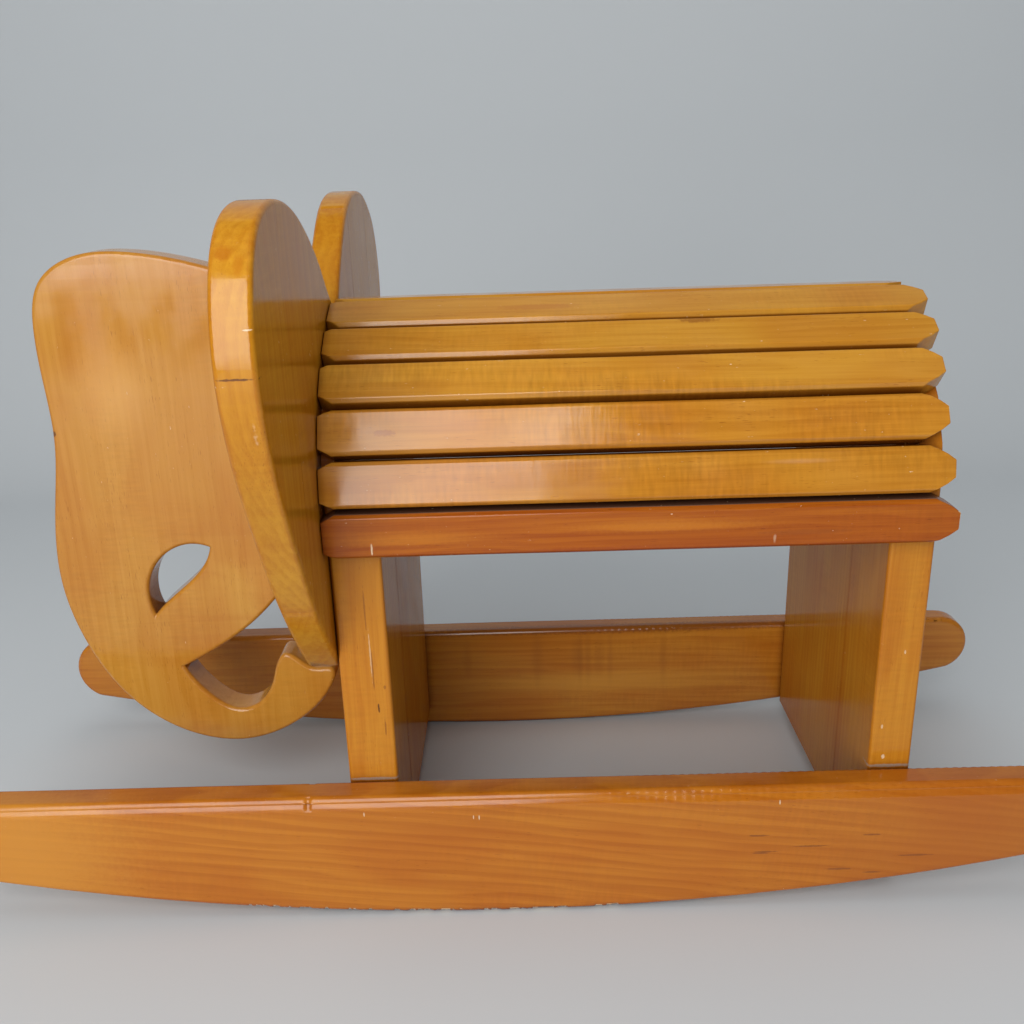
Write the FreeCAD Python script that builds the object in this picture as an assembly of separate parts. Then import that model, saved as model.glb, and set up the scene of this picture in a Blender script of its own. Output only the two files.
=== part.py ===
import FreeCAD, Part
import math
import os

# A child's ride-on rocking elephant, built from varnished boards.
# Two board panels stand across the width between two rockers. Slats laid over their
# arched tops make the barrel of the body. An ear panel closes the front, and the head,
# with its curled trunk, is one upright board fixed to the middle of the ear panel.
#
# Origin: on the floor, at mid-width and mid-length. The rockers touch the floor a little
# nearer the head, at ROCKER_LOWEST_X. +X runs towards the tail (the head faces -X), +Y to the
# animal's left as seen from its tail, +Z up. Lengths are in millimetres, angles in degrees.

# Rockers: flat top edge, circular bottom edge, rounded noses.
ROCKER_DEPTH = 88.8
ROCKER_RADIUS = 1700.0
ROCKER_LENGTH = 756.0
ROCKER_LOWEST_X = -14.0
ROCKER_THICKNESS = 22.0
ROCKER_NOSE_TOP = 27.0
ROCKER_NOSE_BOTTOM = 15.0
ROCKER_TIP_Z = 64.0
ROCKER_CORNER_ROUNDING = 10.0
ROCKER_ROUNDING = 4.0

# Leg panels: each stands between the inner faces of the rockers.
PANEL_WIDTH = 212.0
PANEL_BOTTOM_Z = 16.0
FRONT_PANEL_X = (-110.5, -79.0)
REAR_PANEL_X = (222.0, 249.0)
PANEL_GLUE_Y = -43.0
PANEL_ROUNDING = 2.5

# Arch: slats stand edge to edge up each side. Each one leans further in than the one below
# it, from the upright lowest slat up. The right shoulder stands a little proud of the crown
# slat, which is laid almost flat; the left side is rounder.
RIGHT_LEANS = (0.0, 13.5, 28.0, 45.5, 57.0, 65.5)
LEFT_LEANS = (0.0, 15.0, 30.5, 48.0, 60.0, 73.0)
SLAT_GAP = 0.25
LOWEST_SLAT_Z = 246.3
CROWN_LEAN = 94.0
CROWN_SEAT_Z = 367.2

# Slats: chamfered bars, pointed at the tail end and clipped at the head end.
SLAT_WIDTH = 27.3
SLAT_THICKNESS = 14.0
SLAT_LENGTH = 364.0
SLAT_OUTER_CHAMFER = (2.1, 2.6)
SLAT_INNER_CHAMFER = 0.3
SLAT_FRONT_CLIP = (8.0, 4.0)
# Cut corners of the tail end, as (distance back from the tip, inset from the side).
SLAT_TAIL_CORNERS = ((14.0, 0.0), (5.0, 4.8), (0.0, 8.5))
# Slats whose tail was sawn longer or shorter than the rest, by slat number.
SLAT_TAIL_TRIM = {1: 2.0, 2: -2.0, 3: -4.5, 4: -2.8, 6: 1.8, 7: -1.2}

# Ear panel: one heart-shaped panel glued up from upright boards. The two lobes were cut
# by eye: the right one is rounder and stands a little higher than the left one.
EAR_THICKNESS = 21.0
EAR_ROUNDING = 3.0
EAR_GLUE_Y = (70.0, 150.0)
EAR_VALLEY = (0.0, 374.0)
EAR_RIGHT_LOBE = (
    (26.0, 388.0),
    (46.0, 407.0),
    (73.0, 426.0),
    (98.0, 438.5),
    (124.0, 446.0),
    (148.0, 448.0),
    (172.0, 445.0),
    (193.0, 435.0),
    (207.0, 419.0),
    (214.5, 401.0),
)
EAR_LEFT_LOBE = (
    (21.0, 398.0),
    (42.0, 416.0),
    (64.0, 431.0),
    (94.0, 441.5),
    (125.0, 444.0),
    (152.0, 441.5),
    (175.0, 433.0),
    (197.0, 419.0),
    (211.0, 400.0),
)
EAR_LOWER_SIDE = (
    (218.0, 378.0),
    (211.0, 337.0),
    (187.0, 287.0),
    (153.0, 232.0),
    (98.0, 167.0),
)

# Head board, with the trunk curled back under the mouth.
HEAD_THICKNESS = 24.0
HEAD_ROUNDING = 3.0
HEAD_NECK_Z = (222.0, 386.0)
HEAD_CROWN = (
    (-190.0, 405.0),
    (-244.0, 415.5),
    (-278.0, 412.0),
    (-298.0, 398.0),
    (-306.5, 368.0),
    (-306.0, 320.0),
    (-306.0, 298.0),
    (-314.0, 248.0),
    (-319.0, 191.0),
    (-310.0, 147.0),
    (-284.0, 99.0),
    (-248.0, 71.0),
    (-205.0, 62.0),
    (-166.0, 75.0),
    (-140.0, 99.0),
    (-133.0, 113.0),
)
TRUNK_TIP = ((-135.0, 119.0), (-147.0, 120.0))
TRUNK_LIP = ((-158.0, 127.0), (-169.0, 132.0))
TRUNK_INSIDE = (
    (-173.5, 127.0),
    (-180.0, 108.0),
    (-191.0, 93.0),
    (-203.0, 88.5),
    (-221.0, 96.5),
    (-241.0, 124.0),
)
JAW_LINE = (
    (-241.0, 124.0),
    (-217.0, 137.0),
    (-186.0, 159.0),
    (-158.0, 189.0),
)
EYE_BROW = (
    (-256.0, 166.0),
    (-258.5, 182.0),
    (-251.0, 203.0),
    (-235.0, 215.5),
    (-212.0, 215.0),
)
EYE_LOWER_LID = (
    (-212.0, 215.0),
    (-217.0, 203.0),
    (-226.0, 192.5),
    (-245.0, 176.5),
    (-256.0, 166.0),
)

# Blind dowels. Each one sits in bores with a small glue clearance.
GLUE_CLEARANCE = 0.05
FRAME_DOWEL_RADIUS = 5.0
ROCKER_DOWEL_DEPTHS = (14.0, 26.0)
ROCKER_DOWEL_HEIGHTS = (32.0, 53.0, 74.0)
SLAT_DOWEL_RADIUS = 3.0
SLAT_DOWEL_DEPTHS = (8.0, 14.0)
EAR_DOWEL_RADIUS = 4.0
EAR_DOWEL_DEPTHS = (13.0, 17.0)
EAR_DOWEL_PLACES = ((-58.0, 195.0), (58.0, 195.0), (-58.0, 290.0), (58.0, 290.0))
NECK_DOWEL_HEIGHTS = (246.0, 290.0, 334.0)
NECK_DOWEL_DEPTHS = (34.0, 16.0)

HALF_PANEL = PANEL_WIDTH / 2.0
CROWN = len(RIGHT_LEANS)
SLAT_COUNT = CROWN + 1 + len(LEFT_LEANS)
# The front panel, the slats' front ends and the back of the ear panel share one plane.
SHOULDER_X = FRONT_PANEL_X[0]
EAR_FRONT_X = SHOULDER_X - EAR_THICKNESS
TOLERANCE = 1e-4


def vector(x, y, z):
    return FreeCAD.Vector(x, y, z)


def line(start, end):
    return Part.LineSegment(start, end).toShape()


def arc(start, middle, end):
    return Part.Arc(start, middle, end).toShape()


def smooth(points):
    curve = Part.BSplineCurve()
    curve.interpolate(points)
    return curve.toShape()


def face_from(edges):
    return Part.Face(Part.Wire(Part.__sortEdges__(edges)))


def box(low, high):
    size = vector(*high) - vector(*low)
    return Part.makeBox(size.x, size.y, size.z, vector(*low))


def rim_edges(solid, direction, levels):
    """Edges of the solid that lie wholly in one of the planes at the given levels."""
    found = []
    for edge in solid.Edges:
        heights = [point.dot(direction) for point in edge.discretize(7)]
        for level in levels:
            if all(abs(height - level) < TOLERANCE for height in heights):
                found.append(edge)
    return found


def rounded_plate(face, direction, thickness, rounding, keep_square=None):
    """A board cut to the face's outline with both rims rounded over."""
    start = face.Vertexes[0].Point.dot(direction)
    solid = face.extrude(direction * thickness)
    edges = rim_edges(solid, direction, (start, start + thickness))
    if keep_square is not None:
        edges = [edge for edge in edges if not keep_square(edge)]
    return solid.makeFillet(rounding, edges)


def dowel(start, end, radius):
    axis = end - start
    return Part.makeCylinder(radius, axis.Length, start, axis)


# ---- rockers ----

def rocker_bottom_z(x):
    from_lowest = x - ROCKER_LOWEST_X
    return ROCKER_RADIUS - math.sqrt(ROCKER_RADIUS ** 2 - from_lowest ** 2)


def rocker_face(y):
    half = ROCKER_LENGTH / 2.0
    front_low_x = ROCKER_NOSE_BOTTOM - half
    rear_low_x = half - ROCKER_NOSE_BOTTOM
    front_low = vector(front_low_x, y, rocker_bottom_z(front_low_x))
    rear_low = vector(rear_low_x, y, rocker_bottom_z(rear_low_x))
    front_top = vector(ROCKER_NOSE_TOP - half, y, ROCKER_DEPTH)
    rear_top = vector(half - ROCKER_NOSE_TOP, y, ROCKER_DEPTH)
    front_tip = vector(-half, y, ROCKER_TIP_Z)
    rear_tip = vector(half, y, ROCKER_TIP_Z)
    return face_from([
        arc(front_low, vector(ROCKER_LOWEST_X, y, 0.0), rear_low),
        arc(rear_low, rear_tip, rear_top),
        line(rear_top, front_top),
        arc(front_top, front_tip, front_low),
    ])


def make_rocker(side):
    """The rocker on one side (-1.0 right, 1.0 left): corners first, then both rims."""
    across = vector(0.0, side, 0.0)
    blank = rocker_face(side * HALF_PANEL).extrude(across * ROCKER_THICKNESS)
    corners = []
    for edge in blank.Edges:
        one, two = [vertex.Point for vertex in edge.Vertexes]
        if abs(one.x - two.x) < TOLERANCE and abs(one.z - two.z) < TOLERANCE:
            corners.append(edge)
    rocker = blank.makeFillet(ROCKER_CORNER_ROUNDING, corners)
    levels = (HALF_PANEL, HALF_PANEL + ROCKER_THICKNESS)
    return rocker.makeFillet(ROCKER_ROUNDING, rim_edges(rocker, across, levels))


# ---- slat places on the arch ----

def slat_place(index):
    """Seat centre and unit vectors of one slat, in the YZ plane.

    Returns the middle of the slat's inner face, the direction across its width and
    its outward normal. Slats are counted from the lowest right one over the crown to
    the lowest left one.
    """
    if index == CROWN:
        angle = math.radians(CROWN_LEAN)
        across = vector(0.0, math.sin(angle), math.cos(angle))
        return vector(0.0, 0.0, CROWN_SEAT_Z), across, vector(0.0, -across.z, across.y)
    on_right = index < CROWN
    leans = RIGHT_LEANS[:index + 1] if on_right else LEFT_LEANS[:SLAT_COUNT - index]
    corner = vector(0.0, -HALF_PANEL, LOWEST_SLAT_Z)
    for lean in leans:
        angle = math.radians(lean)
        across = vector(0.0, math.sin(angle), math.cos(angle))
        seat = corner + across * (SLAT_WIDTH / 2.0)
        corner = corner + across * (SLAT_WIDTH + SLAT_GAP)
    normal = vector(0.0, -across.z, across.y)
    if on_right:
        return seat, across, normal
    return (
        vector(0.0, -seat.y, seat.z),
        vector(0.0, across.y, -across.z),
        vector(0.0, -normal.y, normal.z),
    )


def meet(seat_a, along_a, seat_b, along_b):
    """Crossing point of two lines in the YZ plane."""
    gap = seat_b - seat_a
    cross = along_a.y * along_b.z - along_a.z * along_b.y
    distance = (gap.y * along_b.z - gap.z * along_b.y) / cross
    return seat_a + along_a * distance


# ---- leg panels ----

def panel_face(x):
    """Panel outline: straight sides, then one flat facet under each slat."""
    places = [slat_place(index) for index in range(SLAT_COUNT)]
    corners = [vector(0.0, -HALF_PANEL, PANEL_BOTTOM_Z)]
    for one, two in zip(places, places[1:]):
        corners.append(meet(one[0], one[1], two[0], two[1]))
    corners.append(vector(0.0, HALF_PANEL, PANEL_BOTTOM_Z))
    corners = [vector(x, corner.y, corner.z) for corner in corners]
    return Part.Face(Part.makePolygon(corners + [corners[0]]))


def make_panel(x_range):
    """One panel, with the four upright corners of its sides eased."""
    solid = panel_face(x_range[0]).extrude(vector(x_range[1] - x_range[0], 0.0, 0.0))
    upright = []
    for edge in solid.Edges:
        ends = [vertex.Point for vertex in edge.Vertexes]
        on_side = all(abs(abs(point.y) - HALF_PANEL) < TOLERANCE for point in ends)
        if on_side and abs(ends[0].z - ends[1].z) > TOLERANCE:
            upright.append(edge)
    return solid.makeFillet(PANEL_ROUNDING, upright)


def boards_of(panel, glue_lines):
    """Saw a panel at its upright glue lines, from the -Y side to the +Y side."""
    bounds = panel.BoundBox
    edges = [bounds.YMin - 1.0] + sorted(glue_lines) + [bounds.YMax + 1.0]
    boards = []
    for low_y, high_y in zip(edges, edges[1:]):
        cutter = box(
            (bounds.XMin - 1.0, low_y, bounds.ZMin - 1.0),
            (bounds.XMax + 1.0, high_y, bounds.ZMax + 1.0),
        )
        boards.append(panel.common(cutter))
    return boards


# ---- slats ----

def slat_section():
    """Section across a slat, with X as the width and Z as the thickness."""
    half = SLAT_WIDTH / 2.0
    chamfer_width, chamfer_depth = SLAT_OUTER_CHAMFER
    right = [
        vector(half - SLAT_INNER_CHAMFER, 0.0, 0.0),
        vector(half, 0.0, SLAT_INNER_CHAMFER),
        vector(half, 0.0, SLAT_THICKNESS - chamfer_depth),
        vector(half - chamfer_width, 0.0, SLAT_THICKNESS),
    ]
    left = [vector(-point.x, 0.0, point.z) for point in reversed(right)]
    return Part.Face(Part.makePolygon(right + left + [right[0]]))


def slat_plan(length):
    """Outline of a slat seen from outside, with Y as the length and X as the width."""
    half = SLAT_WIDTH / 2.0
    clip_length, clip_width = SLAT_FRONT_CLIP
    right = [vector(half - clip_width, 0.0, 0.0), vector(half, clip_length, 0.0)]
    for from_tip, inset in SLAT_TAIL_CORNERS:
        right.append(vector(half - inset, length - from_tip, 0.0))
    left = [vector(-point.x, point.y, 0.0) for point in reversed(right)]
    return Part.Face(Part.makePolygon(right + left + [right[0]]))


def make_slat(index):
    length = SLAT_LENGTH + SLAT_TAIL_TRIM.get(index + 1, 0.0)
    bar = slat_section().extrude(vector(0.0, length, 0.0))
    blank = slat_plan(length).extrude(vector(0.0, 0.0, SLAT_THICKNESS))
    slat = bar.common(blank)
    seat, across, normal = slat_place(index)
    along = vector(1.0, 0.0, 0.0)
    place = FreeCAD.Matrix(
        -across.x, along.x, normal.x, SHOULDER_X,
        -across.y, along.y, normal.y, seat.y,
        -across.z, along.z, normal.z, seat.z,
        0.0, 0.0, 0.0, 1.0,
    )
    return slat.transformed(place)


# ---- ear panel ----

def make_ear_panel():
    left_outline = (EAR_VALLEY,) + EAR_LEFT_LOBE + EAR_LOWER_SIDE
    right_outline = (EAR_VALLEY,) + EAR_RIGHT_LOBE + EAR_LOWER_SIDE
    left = [vector(EAR_FRONT_X, y, z) for y, z in left_outline]
    right = [vector(EAR_FRONT_X, -y, z) for y, z in right_outline]
    face = face_from([smooth(left), smooth(right), line(left[-1], right[-1])])
    return rounded_plate(face, vector(1.0, 0.0, 0.0), EAR_THICKNESS, EAR_ROUNDING)


# ---- head board ----

def profile(points, y):
    return [vector(x, y, z) for x, z in points]


def make_head():
    y = -HEAD_THICKNESS / 2.0
    neck_low = vector(EAR_FRONT_X, y, HEAD_NECK_Z[0])
    neck_high = vector(EAR_FRONT_X, y, HEAD_NECK_Z[1])
    crown = [neck_high] + profile(HEAD_CROWN, y)
    tip = profile(TRUNK_TIP, y)
    lip = profile(TRUNK_LIP, y)
    inside = profile(TRUNK_INSIDE, y)
    outline = face_from([
        smooth(crown),
        smooth([crown[-1]] + tip + lip + inside),
        smooth(profile(JAW_LINE, y) + [neck_low]),
        line(neck_low, neck_high),
    ])
    eye = face_from([smooth(profile(EYE_BROW, y)), smooth(profile(EYE_LOWER_LID, y))])

    def on_neck(edge):
        return all(abs(point.x - EAR_FRONT_X) < TOLERANCE for point in edge.discretize(5))

    face = outline.cut(eye).Faces[0]
    across = vector(0.0, 1.0, 0.0)
    return rounded_plate(face, across, HEAD_THICKNESS, HEAD_ROUNDING, on_neck)


# ---- dowels ----

def rocker_dowels(side):
    """Six dowels that join one rocker to the ends of both panels."""
    in_rocker, in_panel = ROCKER_DOWEL_DEPTHS
    pins = []
    for low_x, high_x in (FRONT_PANEL_X, REAR_PANEL_X):
        x = (low_x + high_x) / 2.0
        for z in ROCKER_DOWEL_HEIGHTS:
            start = vector(x, side * (HALF_PANEL - in_panel), z)
            end = vector(x, side * (HALF_PANEL + in_rocker), z)
            pins.append((start, end, FRAME_DOWEL_RADIUS))
    return pins


def slat_dowels(x_range):
    """One dowel under each slat, into the edge of one panel."""
    in_slat, in_panel = SLAT_DOWEL_DEPTHS
    middle = vector((x_range[0] + x_range[1]) / 2.0, 0.0, 0.0)
    pins = []
    for index in range(SLAT_COUNT):
        seat, across, normal = slat_place(index)
        start = middle + seat - normal * in_panel
        end = middle + seat + normal * in_slat
        pins.append((start, end, SLAT_DOWEL_RADIUS))
    return pins


def ear_dowels():
    """Dowels from the ear panel into the front leg panel."""
    in_ear, in_panel = EAR_DOWEL_DEPTHS
    return [
        (
            vector(SHOULDER_X - in_ear, y, z),
            vector(SHOULDER_X + in_panel, y, z),
            EAR_DOWEL_RADIUS,
        )
        for y, z in EAR_DOWEL_PLACES
    ]


def neck_dowels():
    """Long dowels through the ear panel, from the head into the front leg panel."""
    in_head, in_panel = NECK_DOWEL_DEPTHS
    return [
        (
            vector(EAR_FRONT_X - in_head, 0.0, z),
            vector(SHOULDER_X + in_panel, 0.0, z),
            FRAME_DOWEL_RADIUS,
        )
        for z in NECK_DOWEL_HEIGHTS
    ]


def pins_of(pins):
    return [dowel(start, end, radius - GLUE_CLEARANCE) for start, end, radius in pins]


def bored(shape, pins):
    """The shape with a bore for each pin that reaches it."""
    for start, end, radius in pins:
        drill = dowel(start, end, radius)
        if shape.BoundBox.intersect(drill.BoundBox):
            shape = shape.cut(drill)
    return shape


# ---- build ----

def save(name, solids):
    shape = solids[0] if len(solids) == 1 else Part.makeCompound(solids)
    shape.exportStep(os.path.join("parts", name + ".step"))


def main():
    os.makedirs("parts", exist_ok=True)
    groups = {
        "rocker_dowels_right": rocker_dowels(-1.0),
        "rocker_dowels_left": rocker_dowels(1.0),
        "slat_dowels_front": slat_dowels(FRONT_PANEL_X),
        "slat_dowels_rear": slat_dowels(REAR_PANEL_X),
        "ear_dowels": ear_dowels(),
        "neck_dowels": neck_dowels(),
    }
    every_pin = [pin for pins in groups.values() for pin in pins]

    pieces = {
        "rocker_right": make_rocker(-1.0),
        "rocker_left": make_rocker(1.0),
        "head_board": make_head(),
    }
    for name, x_range in (("front", FRONT_PANEL_X), ("rear", REAR_PANEL_X)):
        boards = boards_of(make_panel(x_range), [PANEL_GLUE_Y])
        pieces[name + "_leg_board_right"] = boards[0]
        pieces[name + "_leg_board_left"] = boards[1]
    inner_glue, outer_glue = EAR_GLUE_Y
    ear_names = (
        "ear_board_right_outer",
        "ear_board_right_inner",
        "ear_board_middle",
        "ear_board_left_inner",
        "ear_board_left_outer",
    )
    ear_lines = [-outer_glue, -inner_glue, inner_glue, outer_glue]
    for name, board in zip(ear_names, boards_of(make_ear_panel(), ear_lines)):
        pieces[name] = board
    for index in range(SLAT_COUNT):
        pieces["slat_%02d" % (index + 1)] = make_slat(index)

    for name, shape in pieces.items():
        save(name, bored(shape, every_pin).Solids)
    for name, pins in groups.items():
        save(name, pins_of(pins))


main()
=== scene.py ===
import math
import random

import bmesh
import bpy
from mathutils import Matrix, Vector, noise


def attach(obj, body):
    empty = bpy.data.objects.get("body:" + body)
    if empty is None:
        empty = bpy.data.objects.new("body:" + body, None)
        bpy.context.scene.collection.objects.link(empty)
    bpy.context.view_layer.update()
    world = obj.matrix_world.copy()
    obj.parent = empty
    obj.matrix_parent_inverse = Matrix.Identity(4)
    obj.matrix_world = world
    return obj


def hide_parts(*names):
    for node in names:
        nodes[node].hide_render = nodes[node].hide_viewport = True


# Looks for the rocking elephant. Every visible board is rebuilt from its CAD node: the slats
# and leg boards get eased edges, the rockers a softened upper edge, and every board is given
# the slight unevenness of hand sanding and its own varnished-wood material. The CAD dowels
# stay inside, in bare hardwood.

MM = 0.001
JOIN_DISTANCE = 0.005 * MM
CUT_TOLERANCE = 0.01 * MM
FLAT_ANGLE = math.radians(0.3)
SHARP_ANGLE = math.radians(14.0)
FULL_EDGE_ANGLE = math.radians(12.0)
SHADING_ANGLE = math.radians(32.0)

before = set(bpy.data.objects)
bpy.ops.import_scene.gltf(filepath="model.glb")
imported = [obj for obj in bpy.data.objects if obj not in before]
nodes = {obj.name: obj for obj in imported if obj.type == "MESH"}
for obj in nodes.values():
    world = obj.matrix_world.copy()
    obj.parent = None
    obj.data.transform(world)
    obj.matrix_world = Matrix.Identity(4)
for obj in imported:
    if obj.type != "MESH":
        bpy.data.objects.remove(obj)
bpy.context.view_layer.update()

SLATS = sorted(name for name in nodes if name.startswith("slat_") and "dowel" not in name)
LEG_BOARDS = sorted(name for name in nodes if "_leg_board" in name)
EAR_BOARDS = sorted(name for name in nodes if name.startswith("ear_board"))
DOWELS = sorted(name for name in nodes if "dowel" in name)


# ---- mesh work ----

def joined_mesh(node):
    """The node's mesh with split vertices joined."""
    mesh = bmesh.new()
    mesh.from_mesh(nodes[node].data)
    bmesh.ops.remove_doubles(mesh, verts=mesh.verts, dist=JOIN_DISTANCE)
    return mesh


def mesh_of(node):
    """The node's mesh with flat areas merged."""
    mesh = joined_mesh(node)
    merge_flats(mesh)
    return mesh


def hull_of(node):
    """The node's convex outline, which leaves out the blind dowel bores."""
    mesh = joined_mesh(node)
    bmesh.ops.delete(mesh, geom=mesh.edges[:] + mesh.faces[:], context="EDGES_FACES")
    bmesh.ops.convex_hull(mesh, input=mesh.verts[:])
    loose = [vert for vert in mesh.verts if not vert.link_faces]
    bmesh.ops.delete(mesh, geom=loose, context="VERTS")
    merge_flats(mesh)
    return mesh


def merge_flats(mesh):
    bmesh.ops.dissolve_limit(
        mesh, angle_limit=FLAT_ANGLE, verts=mesh.verts[:], edges=mesh.edges[:]
    )
    mesh.normal_update()


def cut_across(mesh, axis, place):
    """Cut the faces at one plane that stands across an axis."""
    point = Vector((0.0, 0.0, 0.0))
    point[axis] = place
    normal = Vector((0.0, 0.0, 0.0))
    normal[axis] = 1.0
    everything = mesh.verts[:] + mesh.edges[:] + mesh.faces[:]
    bmesh.ops.bisect_plane(
        mesh, geom=everything, dist=CUT_TOLERANCE, plane_co=point, plane_no=normal
    )


def slice_up(mesh, axis, spacing):
    """Cut the faces at regular planes along one axis, so that they can be shaped."""
    places = [vert.co[axis] for vert in mesh.verts]
    low, high = min(places), max(places)
    count = max(2, round((high - low) / spacing))
    for number in range(1, count):
        cut_across(mesh, axis, low + (high - low) * number / count)


def ease_edges(mesh, width, wanted, segments=3):
    """Round over the edges that the test picks."""
    picked = [edge for edge in mesh.edges if edge.is_manifold and wanted(edge)]
    bmesh.ops.bevel(
        mesh,
        geom=picked,
        offset=width,
        offset_type="OFFSET",
        segments=segments,
        profile=0.5,
        affect="EDGES",
        clamp_overlap=True,
    )
    mesh.normal_update()


def is_sharp(edge):
    return edge.calc_face_angle(0.0) > SHARP_ANGLE


def wander(mesh, depth, stretch, seed, free=None):
    """Sink each point a little, by a smooth amount that drifts over the board.

    The test, if there is one, picks the points that may move.
    """
    mesh.normal_update()
    shift = Vector((seed * 3.7, seed * 1.3, seed * 2.1))
    points = [vert for vert in mesh.verts if free is None or free(vert)]
    moves = []
    for vert in points:
        place = Vector([vert.co[i] * stretch[i] for i in range(3)]) + shift
        amount = 0.5 + 0.5 * noise.noise(place)
        moves.append(vert.normal * (-depth * amount))
    for vert, move in zip(points, moves):
        vert.co += move


def mark_edges(mesh):
    """Note how much each point lies on a rounded outer edge, from 0 on a flat to 1."""
    layer = mesh.verts.layers.float.new("edge")
    for vert in mesh.verts:
        widest = 0.0
        for edge in vert.link_edges:
            if edge.is_manifold and edge.is_convex:
                widest = max(widest, edge.calc_face_angle(0.0))
        vert[layer] = min(1.0, widest / FULL_EDGE_ANGLE)


def finish_piece(mesh, name, body, material, stands_for):
    """Turn the mesh into an object that stands for its CAD node and rides on its body."""
    data = bpy.data.meshes.new(name)
    mesh.to_mesh(data)
    mesh.free()
    data.shade_smooth()
    data.set_sharp_from_angle(angle=SHADING_ANGLE)
    piece = bpy.data.objects.new(name, data)
    bpy.context.scene.collection.objects.link(piece)
    data.materials.append(material)
    weigh = piece.modifiers.new("weighted_normals", "WEIGHTED_NORMAL")
    weigh.keep_sharp = True
    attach(piece, body)
    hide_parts(stands_for)
    return piece


# ---- material helpers ----

def put(tree, kind, inputs=None, **settings):
    made = tree.nodes.new(kind)
    for name, value in settings.items():
        setattr(made, name, value)
    for key, value in (inputs or {}).items():
        socket = made.inputs[key]
        if isinstance(value, bpy.types.NodeSocket):
            tree.links.new(value, socket)
        else:
            socket.default_value = value
    return made


def calculate(tree, operation, *values, clamp=False):
    inputs = {index: value for index, value in enumerate(values)}
    return put(tree, "ShaderNodeMath", inputs, operation=operation, use_clamp=clamp).outputs[0]


def scaled(tree, vector, factors):
    made = put(tree, "ShaderNodeVectorMath", {0: vector, 1: factors}, operation="MULTIPLY")
    return made.outputs[0]


def blended(tree, factor, one, two, mode="MIX"):
    made = put(
        tree,
        "ShaderNodeMix",
        {0: factor, 6: one, 7: two},
        data_type="RGBA",
        blend_type=mode,
        clamp_factor=True,
    )
    return made.outputs[2]


def between(tree, value, low, high, to_low=0.0, to_high=1.0):
    """Smooth step of a value from one range to another."""
    made = put(
        tree,
        "ShaderNodeMapRange",
        {0: value, 1: low, 2: high, 3: to_low, 4: to_high},
        interpolation_type="SMOOTHSTEP",
    )
    return made.outputs[0]


def cloud(tree, vector, scale, detail=2.0, roughness=0.5):
    made = put(
        tree,
        "ShaderNodeTexNoise",
        {"Vector": vector, "Scale": scale, "Detail": detail, "Roughness": roughness},
    )
    return made.outputs["Fac"]


GRAIN_ORDER = {"X": (0, 1, 2), "Z": (2, 0, 1)}


def grain_space(tree, look):
    """Coordinates in millimetres, with the grain along the first axis."""
    place = put(tree, "ShaderNodeTexCoord").outputs["Object"]
    turned = put(
        tree,
        "ShaderNodeMapping",
        {
            "Vector": place,
            "Rotation": (0.0, math.radians(look["tilt"]), 0.0),
            "Scale": (1000.0, 1000.0, 1000.0),
        },
    ).outputs[0]
    parts = put(tree, "ShaderNodeSeparateXYZ", {0: turned}).outputs
    order = GRAIN_ORDER[look["along"]]
    joined = put(tree, "ShaderNodeCombineXYZ", {i: parts[order[i]] for i in range(3)})
    moved = put(
        tree,
        "ShaderNodeVectorMath",
        {0: joined.outputs[0], 1: look["offset"]},
        operation="ADD",
    )
    return moved.outputs[0]


def growth_rings(tree, space, look):
    """Rings around the heart of the log, seen as long curved lines on a sawn face."""
    drift = cloud(tree, scaled(tree, space, (0.006, 0.03, 0.03)), 1.0, detail=2.0)
    parts = put(tree, "ShaderNodeSeparateXYZ", {0: space}).outputs
    heart_side, heart_deep = look["heart"]
    across = calculate(tree, "SUBTRACT", parts[1], heart_side)
    deep = calculate(tree, "SUBTRACT", parts[2], heart_deep)
    square = calculate(
        tree,
        "ADD",
        calculate(tree, "MULTIPLY", across, across),
        calculate(tree, "MULTIPLY", deep, deep),
    )
    radius = calculate(tree, "SQRT", square)
    bent = calculate(tree, "MULTIPLY_ADD", drift, look["ring_drift"], radius)
    turn = calculate(tree, "FRACT", calculate(tree, "DIVIDE", bent, look["ring_spacing"]))
    rise = between(tree, turn, 0.0, 0.82)
    fall = between(tree, turn, 0.86, 1.0, 1.0, 0.0)
    return calculate(tree, "MULTIPLY", rise, fall)


def fibres(tree, space):
    """Long fine streaks along the grain: a broad set and a hair-fine set."""
    broad = cloud(tree, scaled(tree, space, (0.008, 0.35, 0.35)), 1.0, detail=3.0)
    fine = cloud(tree, scaled(tree, space, (0.03, 1.7, 1.7)), 1.0, detail=2.0)
    return broad, fine


def pores(tree, space):
    """Short dark dashes, thicker in some patches than in others."""
    dash = cloud(tree, scaled(tree, space, (0.16, 1.9, 1.9)), 1.0, detail=1.0)
    patch = cloud(tree, scaled(tree, space, (0.02, 0.05, 0.05)), 1.0, detail=1.0)
    limit = between(tree, patch, 0.3, 0.7, 0.76, 0.66)
    return between(tree, calculate(tree, "SUBTRACT", dash, limit), 0.0, 0.06)


def ripples(tree, space):
    """Faint bands across the grain, left by the plane and the figure of the wood."""
    bent = scaled(tree, space, (0.42, 0.07, 0.07))
    band = cloud(tree, bent, 1.0, detail=1.0)
    patch = cloud(tree, scaled(tree, space, (0.010, 0.03, 0.03)), 1.0, detail=0.0)
    strength = between(tree, patch, 0.32, 0.72)
    return calculate(tree, "MULTIPLY", calculate(tree, "SUBTRACT", band, 0.5), strength)


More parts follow.
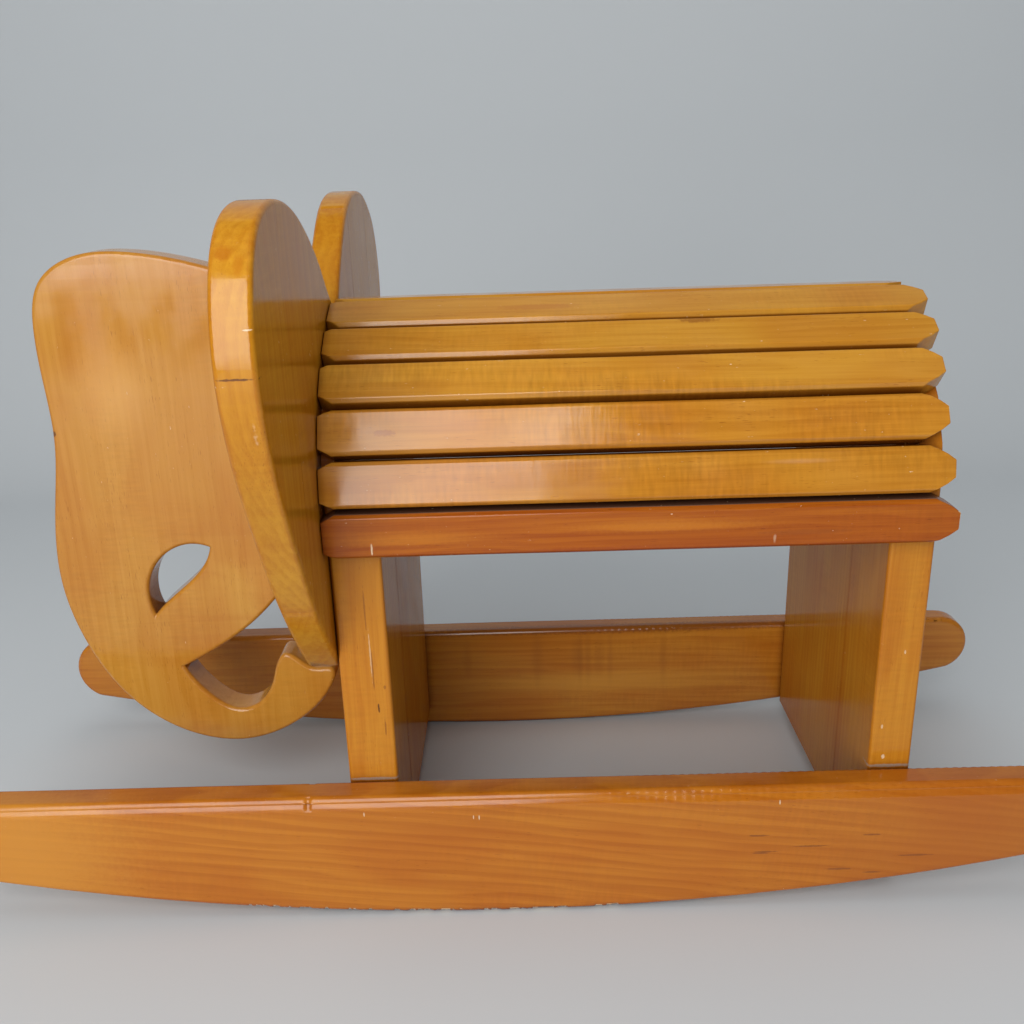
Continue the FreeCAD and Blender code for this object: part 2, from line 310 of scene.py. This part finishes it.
def worn_spots(tree, space):
    """Where the varnish is gone: chips marked on the mesh, and a few nicks on edges."""
    chip = put(tree, "ShaderNodeAttribute", attribute_name="chip").outputs["Fac"]
    edge = put(tree, "ShaderNodeAttribute", attribute_name="edge").outputs["Fac"]
    speck = cloud(tree, scaled(tree, space, (0.22, 0.5, 0.5)), 1.0, detail=3.0, roughness=0.65)
    nick = calculate(tree, "MULTIPLY", edge, between(tree, speck, 0.70, 0.76))
    ragged = calculate(tree, "MULTIPLY_ADD", calculate(tree, "SUBTRACT", speck, 0.5), 0.9, chip)
    return calculate(tree, "MAXIMUM", nick, between(tree, ragged, 0.42, 0.58)), edge


BARE_WOOD = (0.72, 0.52, 0.31, 1.0)
PORE_TINT = (0.40, 0.24, 0.12, 1.0)
STAIN_TINT = (0.90, 0.76, 0.60, 1.0)
DUST_TONE = (0.17, 0.135, 0.105, 1.0)
# Tint multiplied in as painted shade in the gaps and inner corners.
GAP_SHADE_TINT = (0.30, 0.14, 0.07, 1.0)
POOLED_TINT = (0.80, 0.60, 0.42, 1.0)
RAGGEDNESS = 1.8
SOFT_MARK = 0.5


def blemishes_and_shade(tree, look, colour):
    """Small local marks, each with a centre and half sizes in millimetres; most are blemishes, one
    is a band of painted shade on the far rocker.

    Returns the marked colour and how much the marks cut into the surface.
    """
    place = put(tree, "ShaderNodeTexCoord").outputs["Object"]
    place = scaled(tree, place, (1000.0, 1000.0, 1000.0))
    ragged = calculate(tree, "SUBTRACT", cloud(tree, place, 0.45, detail=3.0), 0.5)
    cut = 0.0
    for centre, size, tint, strength, soft in look["marks"]:
        away = put(
            tree, "ShaderNodeVectorMath", {0: place, 1: centre}, operation="SUBTRACT"
        ).outputs[0]
        away = scaled(tree, away, tuple(1.0 / length for length in size))
        reach = put(tree, "ShaderNodeVectorMath", {0: away}, operation="LENGTH").outputs["Value"]
        reach = calculate(tree, "MULTIPLY_ADD", ragged, RAGGEDNESS * (1.0 - soft), reach)
        mask = between(tree, reach, 1.0 - soft, 1.1, strength, 0.0)
        colour = blended(tree, mask, colour, tint + (1.0,))
        if soft < SOFT_MARK:
            cut = calculate(tree, "ADD", mask, cut)
    return colour, cut


def dusty(tree, look, colour):
    """Dust on faces that look straight up."""
    normal = put(tree, "ShaderNodeNewGeometry").outputs["Normal"]
    up = put(tree, "ShaderNodeSeparateXYZ", {0: normal}).outputs[2]
    return blended(tree, between(tree, up, 0.80, 0.97, 0.0, look["dust"]), colour, DUST_TONE)


def paint_gap_shade(tree, look, colour):
    """Painted shade in the gaps and inner corners, from an ambient-occlusion mask."""
    shade = put(
        tree, "ShaderNodeAmbientOcclusion", {"Distance": look["grime"] * MM}, samples=6
    ).outputs["AO"]
    # How much painted shade: more where the occlusion test finds the surface hemmed in.
    grime = between(tree, shade, 0.25, 0.95, 0.85, 0.0)
    return blended(tree, grime, colour, GAP_SHADE_TINT, "MULTIPLY")


def wood_patterns(tree, look):
    """The patterns that the colour, the relief and the gloss are made from."""
    space = grain_space(tree, look)
    broad, fine = fibres(tree, space)
    worn, edge = worn_spots(tree, space)
    return {
        "rings": growth_rings(tree, space, look),
        "broad": broad,
        "fine": fine,
        "pore": pores(tree, space),
        "ripple": ripples(tree, space),
        "worn": worn,
        "edge": edge,
        "stain": cloud(tree, scaled(tree, space, (0.010, 0.022, 0.022)), 1.0, detail=2.0),
        "smear": cloud(tree, scaled(tree, space, (0.03, 0.05, 0.05)), 1.0, detail=3.0),
    }


def wood_colour(tree, look, pattern):
    """The grain's two tones, then stain, pores, pooled varnish, marks, dust, painted gap shade and
    wear.

    Returns the colour and how much the marks cut into the surface.
    """
    depth = calculate(tree, "MULTIPLY", pattern["rings"], look["ring_contrast"])
    depth = calculate(tree, "MULTIPLY_ADD", pattern["broad"], 0.60, depth)
    depth = calculate(tree, "MULTIPLY_ADD", pattern["fine"], 0.30, depth)
    depth = between(tree, depth, 0.28, 0.66 + look["ring_contrast"])
    colour = blended(tree, depth, look["light"], look["dark"])
    stain = between(tree, pattern["stain"], 0.38, 0.68, 0.0, 0.75)
    colour = blended(tree, stain, colour, STAIN_TINT, "MULTIPLY")
    pore = calculate(tree, "MULTIPLY", pattern["pore"], 0.45)
    colour = blended(tree, pore, colour, PORE_TINT, "MULTIPLY")
    pooled = calculate(tree, "MULTIPLY", pattern["edge"], 0.5)
    colour = blended(tree, pooled, colour, POOLED_TINT, "MULTIPLY")
    tone = calculate(tree, "MULTIPLY_ADD", pattern["ripple"], 0.5 * look["ripple"], 1.0)
    colour = put(
        tree, "ShaderNodeVectorMath", {0: colour, "Scale": tone}, operation="SCALE"
    ).outputs[0]
    # Local marks: blemishes, and on the far rocker a band of painted shade.
    colour, cut = blemishes_and_shade(tree, look, colour)
    colour = dusty(tree, look, colour)
    # Painted shade in the gaps and inner corners.
    colour = paint_gap_shade(tree, look, colour)
    return blended(tree, pattern["worn"], colour, BARE_WOOD), cut


def wood_relief(tree, look, pattern, cut):
    """The relief of the wood, and the smoother relief of the varnish over it."""
    height = calculate(tree, "MULTIPLY", pattern["fine"], 0.02)
    height = calculate(tree, "MULTIPLY_ADD", pattern["broad"], 0.03, height)
    height = calculate(tree, "MULTIPLY_ADD", pattern["ripple"], 0.10 * look["ripple"], height)
    height = calculate(tree, "MULTIPLY_ADD", pattern["pore"], -0.03, height)
    height = calculate(tree, "MULTIPLY_ADD", pattern["worn"], -0.25, height)
    height = calculate(tree, "MULTIPLY_ADD", cut, -0.30, height)
    level = calculate(tree, "MULTIPLY", pattern["fine"], 0.006)
    level = calculate(tree, "MULTIPLY_ADD", pattern["ripple"], 0.045 * look["ripple"], level)
    return [
        put(tree, "ShaderNodeBump", {"Height": relief, "Distance": MM, "Strength": 0.8}).outputs[0]
        for relief in (height, level)
    ]


def varnished_wood(name, look):
    """Varnished wood: growth rings, fibres, pores, uneven stain, worn edges, gloss."""
    material = bpy.data.materials.new(name)
    material.use_nodes = True
    tree = material.node_tree
    tree.nodes.clear()
    pattern = wood_patterns(tree, look)
    colour, cut = wood_colour(tree, look, pattern)
    wood_bump, coat_bump = wood_relief(tree, look, pattern, cut)
    rough = between(tree, pattern["smear"], 0.3, 0.7, 0.42, 0.55)
    rough = calculate(tree, "MULTIPLY_ADD", pattern["worn"], 0.3, rough, clamp=True)
    coat_rough = between(tree, pattern["smear"], 0.3, 0.7, look["gloss"], look["gloss"] + 0.12)
    coat = calculate(tree, "MULTIPLY_ADD", pattern["worn"], -0.9, look["coat"], clamp=True)
    surface = put(
        tree,
        "ShaderNodeBsdfPrincipled",
        {
            "Base Color": colour,
            "Roughness": rough,
            "Normal": wood_bump,
            "Coat Weight": coat,
            "Coat Roughness": coat_rough,
            "Coat Normal": coat_bump,
            "Coat IOR": 1.5,
            "Specular IOR Level": 0.0,
        },
    )
    put(tree, "ShaderNodeOutputMaterial", {"Surface": surface.outputs[0]})
    return material


# ---- looks of the boards ----

random.seed(7)


def look_for(along, light, dark, **changes):
    """One board's look; the random offsets give each board its own piece of the log."""
    look = {
        "along": along,
        "tilt": random.uniform(-1.5, 1.5),
        "offset": tuple(random.uniform(-400.0, 400.0) for _ in range(3)),
        "heart": (random.uniform(-420.0, 420.0), random.uniform(-420.0, 420.0)),
        "ring_spacing": random.uniform(5.0, 8.0),
        "ring_drift": random.uniform(14.0, 30.0),
        "ring_contrast": 0.12,
        "ripple": 0.4,
        "gloss": 0.10,
        "coat": 1.0,
        # How far the painted shade in gaps and corners reaches, in millimetres.
        "grime": 7.0,
        "dust": 0.0,
        "marks": (),
        "light": light + (1.0,),
        "dark": dark + (1.0,),
    }
    look.update(changes)
    return look


SLAT_HONEY = ((0.54, 0.258, 0.028), (0.44, 0.188, 0.016))
CROWN_HONEY = ((0.57, 0.302, 0.036), (0.48, 0.228, 0.022))
HEAD_HONEY = ((0.54, 0.272, 0.046), (0.48, 0.222, 0.028))
EAR_AMBER = ((0.55, 0.262, 0.018), (0.46, 0.190, 0.010))
LEG_HONEY = ((0.52, 0.218, 0.018), (0.44, 0.160, 0.011))
ROCKER_AMBER = ((0.48, 0.168, 0.013), (0.38, 0.112, 0.007))
ROCKER_BROWN = ((0.50, 0.200, 0.020), (0.39, 0.132, 0.011))
RUSSET = ((0.42, 0.128, 0.007), (0.30, 0.068, 0.004))

PALE_SCUFF = (0.74, 0.56, 0.36)
RAW_CHIP = (0.82, 0.68, 0.48)
DARK_CRACK = (0.10, 0.030, 0.008)
# Dark streaks and stains; also the painted shade band on the far rocker's upper rim.
DARK_STREAK_AND_SHADE = (0.20, 0.060, 0.010)
GLUE_GREY = (0.40, 0.36, 0.31)
ORANGE_STREAK = (0.40, 0.120, 0.006)
ORANGE_SMEAR = (0.42, 0.135, 0.008)
PALE_CLOUD = (0.66, 0.350, 0.100)
HONEY_CLOUD = (0.62, 0.300, 0.040)
YELLOW_CLOUD = (0.56, 0.240, 0.030)
AMBER_CLOUD = (0.56, 0.205, 0.015)
RED_CLOUD = (0.37, 0.100, 0.009)
BROWN_CLOUD = (0.22, 0.050, 0.008)
BROWN_STREAK = (0.36, 0.110, 0.012)
KNOT_BROWN = (0.28, 0.070, 0.010)
RED_EDGE = (0.25, 0.040, 0.006)
PINK_HAZE = (0.78, 0.500, 0.360)

# Marks as (centre, half sizes, tint, strength, softness): blemishes, and on the far rocker a
# band of painted shade. Centres and half sizes are in millimetres; a crisp blemish (low
# softness) has ragged edges and cuts into the surface.
EAR_MARKS = (
    ((-121.0, -214.0, 373.3), (11.0, 7.0, 0.7), DARK_CRACK, 0.85, 0.3),
    ((-128.0, -213.0, 370.2), (4.6, 4.0, 1.5), RAW_CHIP, 1.0, 0.2),
    ((-127.0, -213.0, 367.6), (1.6, 4.0, 1.8), RAW_CHIP, 1.0, 0.2),
    ((-113.5, -214.0, 395.0), (2.4, 5.0, 0.5), RAW_CHIP, 0.6, 0.2),
    ((-116.0, -206.0, 350.0), (1.8, 9.0, 12.0), PALE_SCUFF, 0.6, 0.5),
    ((-124.0, -201.0, 427.0), (5.0, 9.0, 4.0), ORANGE_STREAK, 0.6, 0.6),
    ((-117.0, -204.0, 421.0), (3.0, 6.0, 7.0), ORANGE_SMEAR, 0.5, 0.6),
)
HEAD_MARKS = (
    ((-304.5, -12.0, 299.0), (1.5, 4.0, 2.0), DARK_CRACK, 0.8, 0.3),
    ((-262.0, -12.0, 330.0), (30.0, 6.0, 45.0), PALE_CLOUD, 0.45, 0.9),
)
FRONT_LEG_MARKS = (
    ((-95.0, -106.0, 89.3), (22.0, 14.0, 1.2), GLUE_GREY, 0.7, 0.5),
    ((-91.6, -106.0, 208.0), (0.5, 4.0, 16.0), DARK_STREAK_AND_SHADE, 0.5, 0.3),
    ((-90.4, -106.0, 178.0), (0.5, 4.0, 18.0), PALE_SCUFF, 0.4, 0.3),
    ((-89.6, -106.0, 166.0), (0.5, 4.0, 16.0), DARK_STREAK_AND_SHADE, 0.6, 0.3),
    ((-87.8, -106.0, 141.0), (0.6, 4.0, 4.0), DARK_CRACK, 0.9, 0.3),
    ((-84.5, -106.0, 127.0), (0.5, 4.0, 6.0), DARK_STREAK_AND_SHADE, 0.6, 0.3),
    ((-83.0, -106.0, 155.0), (0.9, 4.0, 1.5), DARK_STREAK_AND_SHADE, 0.6, 0.3),
)
REAR_LEG_MARKS = (
    ((235.0, -106.0, 89.3), (20.0, 14.0, 1.3), GLUE_GREY, 0.7, 0.5),
    ((231.0, -106.0, 96.0), (1.0, 4.0, 1.6), RAW_CHIP, 0.6, 0.3),
    ((228.5, -106.0, 118.0), (0.7, 4.0, 1.8), PALE_SCUFF, 0.6, 0.3),
    ((238.0, -106.0, 170.0), (0.6, 4.0, 1.6), PALE_SCUFF, 0.6, 0.3),
)
LEG_MARKS = {"front_leg_board_right": FRONT_LEG_MARKS, "rear_leg_board_right": REAR_LEG_MARKS}
NEAR_ROCKER_MARKS = (
    ((-340.0, -128.0, 55.0), (120.0, 30.0, 90.0), YELLOW_CLOUD, 0.7, 0.8),
    ((330.0, -128.0, 55.0), (160.0, 30.0, 90.0), RED_CLOUD, 0.6, 0.8),
    ((-27.0, -128.0, 73.5), (0.5, 4.0, 1.8), PALE_SCUFF, 0.8, 0.3),
    ((-30.5, -128.0, 74.0), (0.4, 4.0, 1.5), PALE_SCUFF, 0.7, 0.3),
    ((-99.0, -128.0, 78.0), (0.5, 4.0, 1.6), PALE_SCUFF, 0.7, 0.3),
    ((161.0, -128.0, 79.0), (0.5, 4.0, 1.6), PALE_SCUFF, 0.8, 0.3),
)
FAR_ROCKER_MARKS = (
    # Painted shade: a dark band along the far rocker's upper rim, which lies in shadow under the
    # body.
    ((80.0, 106.0, 88.0), (230.0, 9.0, 5.0), DARK_STREAK_AND_SHADE, 0.8, 0.5),
    ((60.0, 106.0, 38.0), (150.0, 5.0, 14.0), HONEY_CLOUD, 0.5, 0.9),
)
SLAT_MARKS = {
    1: (
        ((70.0, -120.0, 246.3), (210.0, 7.0, 4.5), RED_EDGE, 0.65, 0.6),
        ((-82.0, -120.0, 252.6), (0.6, 4.0, 3.6), PALE_SCUFF, 0.8, 0.3),
        ((150.0, -120.0, 252.6), (1.0, 4.0, 3.0), PALE_SCUFF, 0.3, 0.5),
        ((-60.0, -122.0, 258.0), (60.0, 6.0, 6.0), AMBER_CLOUD, 0.45, 0.8),
        ((90.0, -122.0, 262.0), (80.0, 6.0, 5.0), AMBER_CLOUD, 0.45, 0.8),
        ((168.0, -120.0, 256.0), (34.0, 5.0, 2.0), BROWN_CLOUD, 0.5, 0.6),
    ),
    2: (((163.0, -117.0, 297.0), (26.0, 5.0, 2.0), PINK_HAZE, 0.18, 0.9),),
    3: (((-72.0, -106.0, 318.0), (7.0, 6.0, 2.0), KNOT_BROWN, 0.45, 0.4),),
    5: (((114.0, -57.0, 369.0), (14.0, 6.0, 1.6), DARK_STREAK_AND_SHADE, 0.6, 0.4),),
    6: (((20.0, -38.0, 377.0), (30.0, 6.0, 2.0), BROWN_STREAK, 0.5, 0.6),),
}


def dashes(count, x_range, z_range, y, tint):
    """Short dark strokes along the grain, scattered over one area of a side."""
    made = []
    for _ in range(count):
        centre = (random.uniform(*x_range), y, random.uniform(*z_range))
        made.append((centre, (random.uniform(5.0, 12.0), 4.0, 0.7), tint, 0.7, 0.4))
    return tuple(made)


def drips(count, x_range, y, z):
    """Upright stains where something ran down."""
    made = []
    for _ in range(count):
        size = (random.uniform(2.5, 7.0), 5.0, random.uniform(22.0, 42.0))
        made.append(((random.uniform(*x_range), y, z), size, DARK_STREAK_AND_SHADE, 0.22, 0.9))
    return tuple(made)


# ---- rockers ----

ROCKER_SLICES = 1.5 * MM
BOARD_SLICES = 8.0 * MM
ROCKER_SEEDS = {"rocker_right": 1, "rocker_left": 2}
CHIPPED_X = (-0.180, 0.060)
CHIPPED_STRIP = 3.2 * MM
CHIP_DEPTH = 0.9 * MM
PLANED_X = 0.045
PLANED_FADE = 0.06
TOOTH_SPACING = 5.8 * MM
TOOTH_DEPTH = 0.28 * MM
NICK_X = -0.134
NICK_REACH = 2.2 * MM
NICK_DEPTH = 1.2 * MM
ARRIS = 4.0 * MM
ARRIS_RUN = 6.0 * MM
ARRIS_SINK = 1.8 * MM
ARRIS_STEPS = 5


def chip_lower_edge(mesh, seed):
    """Small breaks along the lower outer edge, in the stretch that meets the floor."""
    chip = mesh.verts.layers.float.new("chip")
    widest = max(abs(vert.co.y) for vert in mesh.verts)
    mesh.normal_update()
    for vert in mesh.verts:
        outside = abs(vert.co.y) > widest - CHIPPED_STRIP
        under = vert.normal.z < -0.20
        if not (outside and under and CHIPPED_X[0] < vert.co.x < CHIPPED_X[1]):
            continue
        cluster = noise.noise(Vector((vert.co.x * 38.0, seed, 0.0)))
        break_off = noise.noise(Vector((vert.co.x * 330.0, vert.co.z * 60.0, seed)))
        amount = min(1.0, max(0.0, (break_off + 0.8 * cluster + 0.02) * 4.0))
        vert[chip] = amount
        vert.co -= vert.normal * CHIP_DEPTH * amount


def soften_upper_edge(mesh):
    """The outer side leans in a little below its rounded upper edge."""
    top = max(vert.co.z for vert in mesh.verts)
    for number in range(ARRIS_STEPS + 1):
        cut_across(mesh, 2, top - ARRIS - ARRIS_RUN * number / ARRIS_STEPS)
    distances = [abs(vert.co.y) for vert in mesh.verts]
    middle = 0.5 * (min(distances) + max(distances))
    for vert in mesh.verts:
        if abs(vert.co.y) > middle:
            below = min(1.0, max(0.0, (top - ARRIS - vert.co.z) / ARRIS_RUN))
            sink = ARRIS_SINK * (1.0 - below) ** 2
            vert.co.y -= math.copysign(sink, vert.co.y)


def plane_upper_edge(mesh):
    """Tooth-like plane marks and one nick on the rounded upper outer edge."""
    mesh.normal_update()
    for vert in mesh.verts:
        if not (vert.normal.z > 0.25 and abs(vert.normal.y) > 0.25):
            continue
        teeth = 0.5 + 0.5 * math.sin(vert.co.x * math.tau / TOOTH_SPACING)
        fade = min(1.0, max(0.0, (vert.co.x - PLANED_X) / PLANED_FADE))
        nick = max(0.0, 1.0 - abs(vert.co.x - NICK_X) / NICK_REACH)
        vert.co -= vert.normal * (TOOTH_DEPTH * teeth * fade + NICK_DEPTH * nick)


def make_rocker(node, look):
    seed = ROCKER_SEEDS[node]
    mesh = hull_of(node)
    slice_up(mesh, 0, ROCKER_SLICES)
    slice_up(mesh, 2, BOARD_SLICES)
    soften_upper_edge(mesh)
    wander(mesh, 0.35 * MM, (9.0, 20.0, 20.0), seed)
    plane_upper_edge(mesh)
    mark_edges(mesh)
    chip_lower_edge(mesh, seed)
    name = node + "_board"
    finish_piece(mesh, name, "root", varnished_wood(name, look), node)


# ---- slats ----

BODY_AXIS_Z = 0.262
SEAM_FILL = 0.11 * MM
INNER_EDGE = 3.0 * MM
SLAT_EASING = 0.9 * MM
SLAT_SLICES = 4.0 * MM
WORN_TIP = 1.6 * MM
FIRST_SLAT_SEED = 10
UPPER_SLATS = range(4, 11)
RIPPLED_SLATS = (2, 3, 4)
DUSTY_SLATS = (1, 13)
WORN_TIPS = (1, 2, 3)


def outward_of(mesh):
    """The slat's outward direction: the normal of its biggest face that looks outwards."""
    best = None
    for face in mesh.faces:
        middle = face.calc_center_median()
        away = Vector((0.0, middle.y, middle.z - BODY_AXIS_Z))
        if face.normal.dot(away) > 0.0 and (best is None or face.calc_area() > best[0]):
            best = (face.calc_area(), face.normal.copy())
    return best[1]


def wear_tip(mesh, outward, strength):
    """Bare wood where the varnish has rubbed off the tail end's outer rim."""
    chip = mesh.verts.layers.float.new("chip")
    tail = max(vert.co.x for vert in mesh.verts)
    mesh.normal_update()
    for vert in mesh.verts:
        on_rim = vert.normal.x > 0.25 and vert.normal.dot(outward) > 0.25
        if on_rim and vert.co.x > tail - WORN_TIP:
            patch = 0.5 + noise.noise(Vector((vert.co.y * 160.0, vert.co.z * 160.0, tail)))
            vert[chip] = min(1.0, max(0.0, patch * 1.4)) * strength


def fill_seam(mesh, outward, raised):
    """Widen the inner edges, so that no hairline of light shows between two slats."""
    across = outward.cross(Vector((1.0, 0.0, 0.0)))
    places = [vert.co.dot(across) for vert in mesh.verts]
    middle = 0.5 * (min(places) + max(places))
    for vert in mesh.verts:
        if not raised(vert):
            vert.co += across * math.copysign(SEAM_FILL, vert.co.dot(across) - middle)


def slat_look(number):
    """The lowest near slat is redder and duller; the upper slats are paler."""
    tones = SLAT_HONEY
    if number == 1:
        tones = RUSSET
    if number in UPPER_SLATS:
        tones = CROWN_HONEY
    return look_for(
        "X",
        *tones,
        ripple=1.0 if number in RIPPLED_SLATS else 0.4,
        dust=0.8 if number in DUSTY_SLATS else 0.0,
        coat=0.6 if number == 1 else 1.0,
        marks=SLAT_MARKS.get(number, ()),
    )


def make_slat(node, number):
    look = slat_look(number)
    mesh = hull_of(node)
    outward = outward_of(mesh)
    inner = min(vert.co.dot(outward) for vert in mesh.verts)

    def raised(vert):
        return vert.co.dot(outward) > inner + INNER_EDGE

    fill_seam(mesh, outward, raised)
    ease_edges(mesh, SLAT_EASING, lambda edge: is_sharp(edge) and any(map(raised, edge.verts)))
    slice_up(mesh, 0, SLAT_SLICES)
    wander(mesh, 0.40 * MM, (14.0, 45.0, 45.0), FIRST_SLAT_SEED + number, raised)
    mark_edges(mesh)
    wear_tip(mesh, outward, 1.0 if number in WORN_TIPS else 0.2)
    name = node + "_bar"
    finish_piece(mesh, name, "root", varnished_wood(name, look), node)


# ---- leg boards ----

def make_leg_board(node, look, seed):
    mesh = hull_of(node)
    ease_edges(mesh, 0.5 * MM, is_sharp, segments=2)
    slice_up(mesh, 2, BOARD_SLICES)
    slice_up(mesh, 1, 10.0 * MM)
    wander(mesh, 0.3 * MM, (20.0, 20.0, 9.0), seed)
    mark_edges(mesh)
    mesh.verts.layers.float.new("chip")
    name = node + "_plank"
    finish_piece(mesh, name, "root", varnished_wood(name, look), node)


# ---- ear boards and head ----

def make_shaped_board(node, look, seed):
    mesh = mesh_of(node)
    slice_up(mesh, 2, BOARD_SLICES)
    wander(mesh, 0.3 * MM, (20.0, 20.0, 9.0), seed)
    mark_edges(mesh)
    mesh.verts.layers.float.new("chip")
    name = node + "_panel"
    finish_piece(mesh, name, "root", varnished_wood(name, look), node)


# ---- the stage ----

FLOOR_TONE = (0.55, 0.58, 0.60, 1.0)
FLOOR_FRONT_Y = -3.0
FLOOR_HALF_WIDTH = 3.0
BEND_Y = 0.75
BEND_RADIUS = 0.5
BEND_STEPS = 24
BACKDROP_TOP = 2.6


def stage_outline():
    """The floor and the backdrop from the side, as (y, z) points from front to top."""
    outline = [(FLOOR_FRONT_Y, 0.0), (BEND_Y, 0.0)]
    for number in range(1, BEND_STEPS + 1):
        angle = math.radians(90.0) * number / BEND_STEPS
        y = BEND_Y + BEND_RADIUS * math.sin(angle)
        outline.append((y, BEND_RADIUS * (1.0 - math.cos(angle))))
    outline.append((BEND_Y + BEND_RADIUS, BACKDROP_TOP))
    return outline


def make_stage():
    """A pale floor that curves up into a backdrop behind the object."""
    mesh = bmesh.new()
    rows = []
    for y, z in stage_outline():
        rows.append([mesh.verts.new((x, y, z)) for x in (-FLOOR_HALF_WIDTH, FLOOR_HALF_WIDTH)])
    for one, two in zip(rows, rows[1:]):
        mesh.faces.new((one[0], one[1], two[1], two[0]))
    data = bpy.data.meshes.new("floor")
    mesh.to_mesh(data)
    mesh.free()
    data.shade_smooth()
    floor = bpy.data.objects.new("floor", data)
    bpy.context.scene.collection.objects.link(floor)
    material = bpy.data.materials.new("floor_paper")
    material.use_nodes = True
    surface = material.node_tree.nodes["Principled BSDF"]
    surface.inputs["Base Color"].default_value = FLOOR_TONE
    surface.inputs["Roughness"].default_value = 0.9
    data.materials.append(material)


def area_light(name, place, target, size, power, colour):
    data = bpy.data.lights.new(name, "AREA")
    data.shape = "RECTANGLE"
    data.size, data.size_y = size
    data.energy = power
    data.color = colour
    lamp = bpy.data.objects.new(name, data)
    lamp.location = place
    lamp.rotation_mode = "QUATERNION"
    lamp.rotation_quaternion = (Vector(target) - Vector(place)).to_track_quat("-Z", "Y")
    bpy.context.scene.collection.objects.link(lamp)
    return lamp


WINDOW_TARGET = Vector((-0.05, 0.0, 0.30))
WINDOW_DISTANCE = 1.9
WINDOW_AZIMUTH = math.radians(-15.5)
WINDOW_ELEVATION = math.radians(22.0)
WINDOW_SIZE = (1.30, 1.75)
WINDOW_POWER = 38.0
WINDOW_TONE = (1.0, 0.98, 0.96)
CEILING_PLACE = (0.3, -0.2, 2.2)
CEILING_TARGET = (0.0, 0.0, 0.25)
CEILING_SIZE = (2.4, 2.0)
CEILING_POWER = 14.0
CEILING_TONE = (1.0, 0.99, 0.97)
ROOM_TONE = (0.86, 0.90, 0.94, 1.0)
ROOM_LIGHT = 0.30
ROOM_MIRRORED = 0.05


def make_lights():
    """A tall window behind the camera's left shoulder, a soft ceiling and a dim room."""
    level = WINDOW_DISTANCE * math.cos(WINDOW_ELEVATION)
    offset = Vector((
        level * math.sin(WINDOW_AZIMUTH),
        -level * math.cos(WINDOW_AZIMUTH),
        WINDOW_DISTANCE * math.sin(WINDOW_ELEVATION),
    ))
    place = WINDOW_TARGET + offset
    area_light("window", place, WINDOW_TARGET, WINDOW_SIZE, WINDOW_POWER, WINDOW_TONE)
    ceiling = area_light(
        "ceiling", CEILING_PLACE, CEILING_TARGET, CEILING_SIZE, CEILING_POWER, CEILING_TONE
    )
    ceiling.visible_glossy = False
    world = bpy.data.worlds.new("room")
    world.use_nodes = True
    tree = world.node_tree
    background = tree.nodes["Background"]
    background.inputs["Color"].default_value = ROOM_TONE
    mirrored = put(tree, "ShaderNodeLightPath").outputs["Is Glossy Ray"]
    strength = calculate(tree, "MULTIPLY_ADD", mirrored, ROOM_MIRRORED - ROOM_LIGHT, ROOM_LIGHT)
    tree.links.new(strength, background.inputs["Strength"])
    bpy.context.scene.world = world


CAMERA_PLACE = Vector((5.4, -661.8, 462.7)) * MM
CAMERA_YAW = 0.612
CAMERA_PITCH = 19.278
CAMERA_ROLL = 1.817
CAMERA_LENS = 35.46


def make_camera():
    yaw = math.radians(CAMERA_YAW)
    pitch = math.radians(CAMERA_PITCH)
    roll = math.radians(CAMERA_ROLL)
    forward = Vector(
        (-math.sin(yaw) * math.cos(pitch), math.cos(yaw) * math.cos(pitch), -math.sin(pitch))
    )
    level = Vector((math.cos(yaw), math.sin(yaw), 0.0))
    down = forward.cross(level)
    right = level * math.cos(roll) + down * math.sin(roll)
    up = level * math.sin(roll) - down * math.cos(roll)
    turn = Matrix((right, up, -forward)).transposed()
    data = bpy.data.cameras.new("camera")
    data.lens = CAMERA_LENS
    data.sensor_width = 36.0
    camera = bpy.data.objects.new("camera", data)
    camera.matrix_world = Matrix.Translation(CAMERA_PLACE) @ turn.to_4x4()
    bpy.context.scene.collection.objects.link(camera)
    bpy.context.scene.camera = camera


# ---- build ----

near_marks = NEAR_ROCKER_MARKS + dashes(8, (140.0, 330.0), (22.0, 60.0), -128.0, DARK_STREAK_AND_SHADE)
near_look = look_for(
    "X", *ROCKER_AMBER, tilt=-7.0, ring_contrast=0.22, marks=near_marks, coat=0.9
)
make_rocker("rocker_right", near_look)
far_marks = FAR_ROCKER_MARKS + drips(8, (-60.0, 200.0), 106.0, 62.0)
make_rocker("rocker_left", look_for("X", *ROCKER_BROWN, marks=far_marks))
for number, node in enumerate(SLATS, start=1):
    make_slat(node, number)
for seed, node in enumerate(LEG_BOARDS, start=31):
    look = look_for("Z", *LEG_HONEY, marks=LEG_MARKS.get(node, ()), coat=0.6)
    make_leg_board(node, look, seed)
for seed, node in enumerate(EAR_BOARDS, start=41):
    marks = EAR_MARKS if node == "ear_board_right_outer" else ()
    look = look_for("Z", *EAR_AMBER, marks=marks, coat=0.75)
    make_shaped_board(node, look, seed)
# On the head the painted shade in gaps and corners reaches further.
head_look = look_for("Z", *HEAD_HONEY, marks=HEAD_MARKS, grime=22.0)
make_shaped_board("head_board", head_look, 51)
dowel_look = look_for("Z", BARE_WOOD[:3], (0.55, 0.37, 0.20), coat=0.0)
dowel_wood = varnished_wood("dowel_hardwood", dowel_look)
for node in DOWELS:
    nodes[node].data.materials.clear()
    nodes[node].data.materials.append(dowel_wood)

make_stage()
make_lights()
make_camera()
bpy.context.scene.view_settings.view_transform = "Standard"
